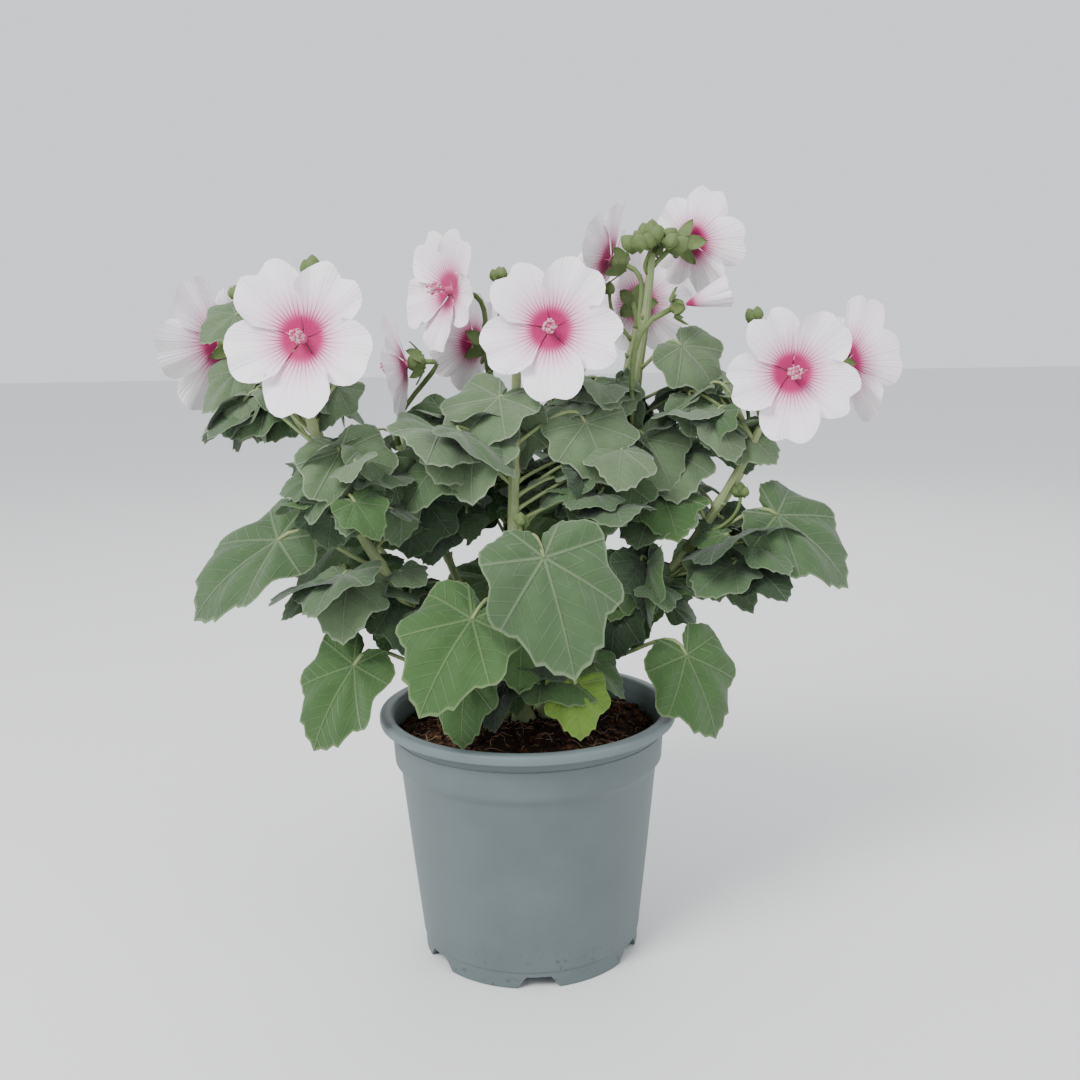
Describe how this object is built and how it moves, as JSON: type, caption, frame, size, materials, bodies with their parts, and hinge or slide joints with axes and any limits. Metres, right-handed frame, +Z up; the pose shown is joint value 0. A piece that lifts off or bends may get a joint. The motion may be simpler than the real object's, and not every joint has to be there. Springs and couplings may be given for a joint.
{
  "type": "potted tree mallow",
  "caption": "Young tree mallow in flower in a round plastic nursery pot, with leafy green stems and pale pink blooms with magenta eyes.",
  "frame": {"origin": "centre of the pot's underside, level with the foot ring it stands on", "axes": "+Z up through the pot and the plant, -Y towards the side the picture shows, +X to that side's right"},
  "size_m": [0.3134, 0.1698, 0.3324],
  "materials": {
    "pot_plastic": "satin",
    "compost": "matte",
    "stem": "matte",
    "foliage": "matte",
    "petal": "matte",
    "bud": "matte"
  },
  "bodies": {
    "root": {"bloom_back": "petal", "bloom_back_far_left": "petal", "bloom_back_far_right": "petal", "bloom_back_right": "petal", "bloom_far_left": "petal", "bloom_far_right": "petal", "bloom_front": "petal", "bloom_left": "petal", "bloom_mid_back": "petal", "bloom_right": "petal", "bloom_side_left": "petal", "bloom_top_right": "petal", "bloom_upper_back": "petal", "bloom_upper_left": "petal", "bud_half_open": "bud", "bud_head": "bud", "foliage_back": "foliage", "foliage_back_left": "foliage", "foliage_back_low": "foliage", "foliage_back_mid": "foliage", "foliage_back_right": "foliage", "foliage_front_low": "foliage", "foliage_left": "foliage", "foliage_left_foot": "foliage", "foliage_left_low": "foliage", "foliage_left_top": "foliage", "foliage_mid_left": "foliage", "foliage_middle": "foliage", "foliage_middle_right": "foliage", "foliage_right": "foliage", "foliage_right_low": "foliage", "foliage_right_tip": "foliage", "foliage_right_upper": "foliage", "foliage_upper_left": "foliage", "foliage_upper_middle": "foliage", "leaf_back_outer_left": "foliage", "leaf_back_outer_right": "foliage", "leaf_front": "foliage", "leaf_front_left": "foliage", "leaf_low_back": "foliage", "leaf_low_left": "foliage", "leaf_low_right": "foliage", "leaf_outer_left": "foliage", "leaf_outer_right": "foliage", "leaf_soil_left": "foliage", "leaf_soil_right": "foliage", "pot": "pot_plastic", "soil": "compost", "stem_back": "stem", "stem_back_left": "stem", "stem_back_right": "stem", "stem_left": "stem", "stem_mid": "stem", "stem_mid_left": "stem", "stem_mid_right": "stem", "stem_right": "stem", "stem_tall": "stem", "trunk": "stem"}
  },
  "joints": []
}
